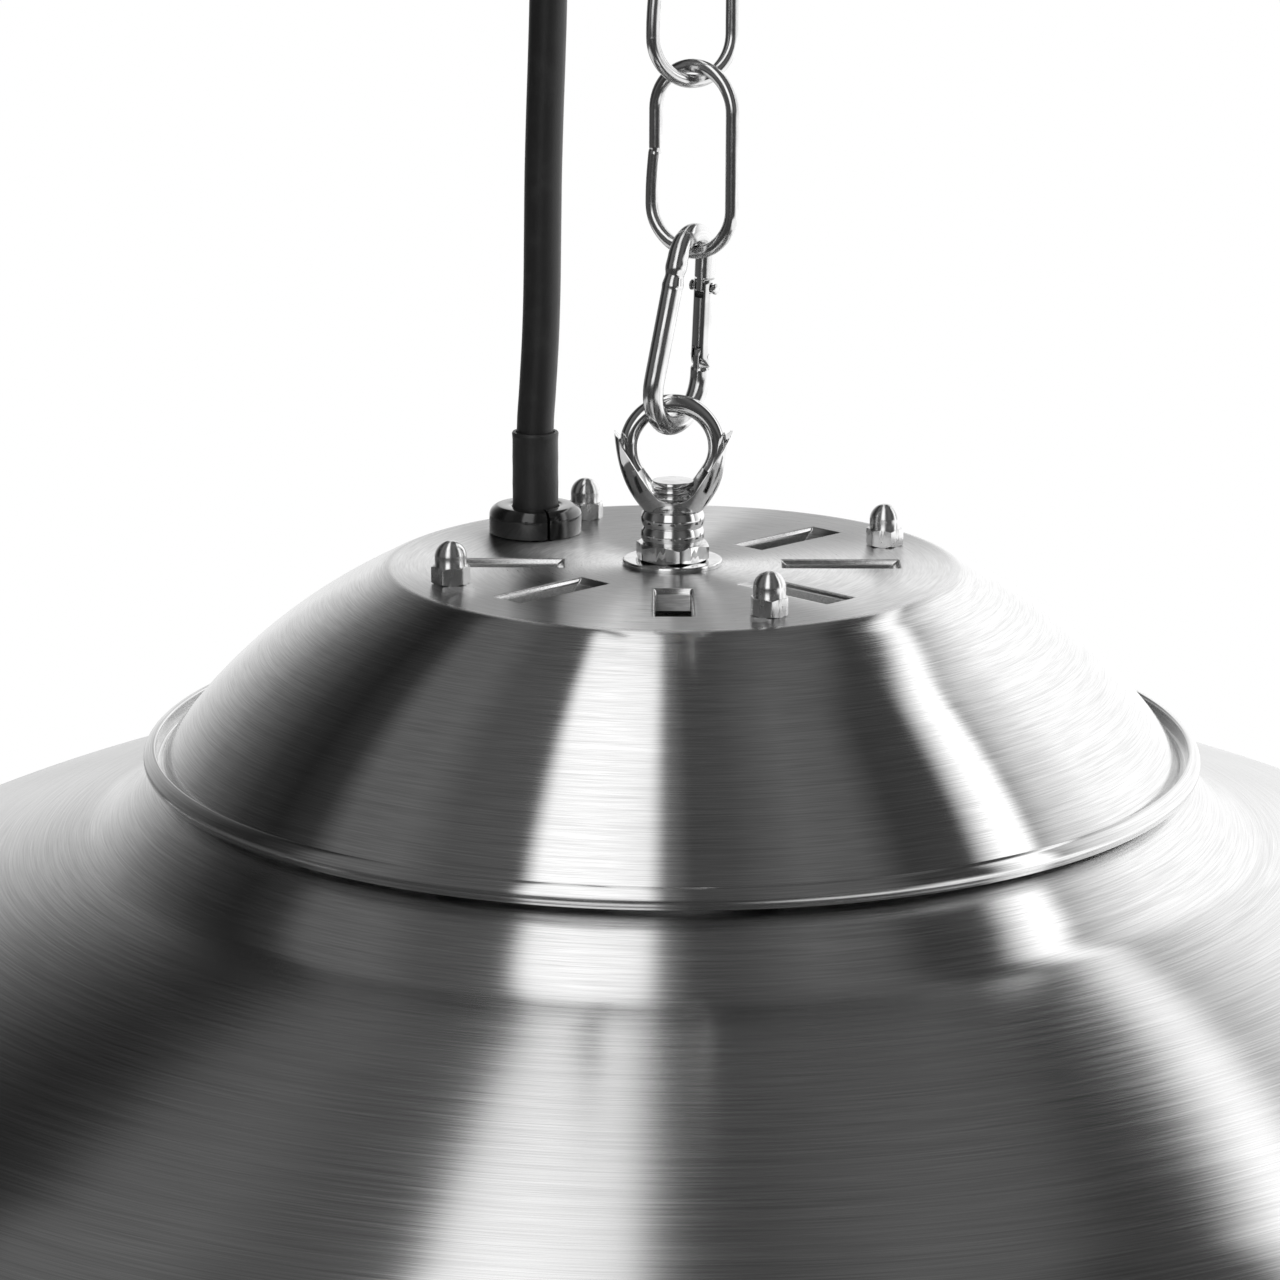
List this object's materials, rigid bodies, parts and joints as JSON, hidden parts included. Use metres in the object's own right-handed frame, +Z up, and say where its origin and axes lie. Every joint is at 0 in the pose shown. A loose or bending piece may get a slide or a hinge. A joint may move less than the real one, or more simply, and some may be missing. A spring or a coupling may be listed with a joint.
{
  "type": "infrared heater",
  "caption": "Hanging infrared heater: a spun steel shade with a ring lamp behind a wire guard, under a vented cap, on an eye, snap hook, chain and ceiling rose.",
  "frame": {"origin": "on the ceiling plane, midway between the two ceiling screws and straight above the chain", "axes": "+Z up, towards the ceiling; +X to the right in the picture; -Y towards the picture's viewer. The heater's own axis is upright, 4.4 mm to -X of the origin."},
  "size_m": [0.477, 0.477, 0.3972],
  "materials": {
    "zinc_steel": "zinc plated, satin",
    "bright_zinc": "bright zinc plated wire and castings",
    "rose_steel": "brushed in circles",
    "stainless": "stainless sheet, brushed in circles",
    "bright_aluminium": "polished reflector sheet",
    "black_plastic": "moulded, dull",
    "gloss_black": "moulded, glossy",
    "black_rubber": "dull sheath",
    "sleeve_black": "shrunk sleeve, dull",
    "ivory_ceramic": "glazed ceramic",
    "brass": "plain",
    "spring_steel": "plain spring steel",
    "filament_metal": "dark coiled wire",
    "amber_glass": "gold coated quartz",
    "guard_chrome": "plated welded wire",
    "brown_insulation": "silicone insulation",
    "blue_insulation": "silicone insulation",
    "green_insulation": "silicone insulation"
  },
  "bodies": {
    "ceiling": {"ceiling_bracket": "zinc_steel", "ceiling_rose": "rose_steel", "ceiling_hook": "zinc_steel", "hook_nuts": "zinc_steel", "rose_nut": "zinc_steel", "cable_gland": "black_plastic", "gland_nut": "black_plastic", "supply_tail": "black_rubber", "supply_connector": "ivory_ceramic", "connector_screws": "brass"},
    "link_3": {"chain_link_3": "bright_zinc"},
    "link_2": {"chain_link_2": "bright_zinc"},
    "link_1": {"chain_link_1": "bright_zinc"},
    "snap_hook": {"snap_hook_body": "bright_zinc", "gate_hinge_pin": "zinc_steel"},
    "gate": {"snap_hook_gate": "bright_zinc", "gate_spring": "spring_steel"},
    "heater": {"suspension_eye": "bright_zinc", "hanging_stud": "zinc_steel", "eye_lock_nut": "bright_zinc", "eye_washer": "zinc_steel", "stud_inner_washer": "zinc_steel", "stud_inner_nut": "zinc_steel", "top_cap": "stainless", "dome_nuts": "bright_zinc", "tie_rods": "zinc_steel", "support_plate": "zinc_steel", "spacer_tubes": "zinc_steel", "main_shade": "stainless", "reflector_spacers": "zinc_steel", "reflector": "bright_aluminium", "reflector_nuts": "zinc_steel", "terminal_block": "ivory_ceramic", "terminal_screws": "brass", "earth_screw": "zinc_steel", "live_lead": "brown_insulation", "neutral_lead": "blue_insulation", "earth_lead": "green_insulation", "cable_grip": "gloss_black", "cable_sleeve": "sleeve_black", "power_cable": "black_rubber", "lamp_tube": "amber_glass", "lamp_filament": "filament_metal", "lamp_end_caps": "ivory_ceramic", "lamp_clips": "spring_steel", "lead_grommets": "ivory_ceramic", "guard_rings": "guard_chrome", "guard_spokes": "guard_chrome", "guard_clips": "zinc_steel", "guard_screws": "zinc_steel"}
  },
  "joints": [
    {"name": "chain_swing", "type": "hinge", "parent": "ceiling", "child": "link_3", "pos_m": [0, 0, -0.054], "axis": [-0.7173, 0.6968, 0], "range_deg": [-10, 10]},
    {"name": "link_2_swing", "type": "hinge", "parent": "link_3", "child": "link_2", "pos_m": [0, 0, -0.0933], "axis": [-0.7173, 0.6968, 0], "range_deg": [-12, 12]},
    {"name": "link_1_swing", "type": "hinge", "parent": "link_2", "child": "link_1", "pos_m": [0, 0, -0.1326], "axis": [-0.7173, 0.6968, 0], "range_deg": [-6, 6]},
    {"name": "snap_hook_swing", "type": "hinge", "parent": "link_1", "child": "snap_hook", "pos_m": [0, 0, -0.1719], "axis": [-0.7173, 0.6968, 0], "range_deg": [-8.1, 8.1]},
    {"name": "heater_tilt", "type": "hinge", "parent": "snap_hook", "child": "heater", "pos_m": [-0.0044, 0, -0.21166], "axis": [-0.7173, 0.6968, 0], "range_deg": [-6, 6]},
    {"name": "gate_hinge", "type": "hinge", "parent": "snap_hook", "child": "gate", "pos_m": [0.00212, 0.00788, -0.1991], "axis": [-0.8336, 0.5446, 0.0923], "range_deg": [-25, 0], "stiffness_Nm_per_rad": 0.03, "springref_deg": 22.92}
  ],
  "couplings": [
    {"joint": "link_1_swing", "follows": "link_2_swing", "ratio": -0.5},
    {"joint": "snap_hook_swing", "follows": "heater_tilt", "ratio": -1.3372}
  ]
}
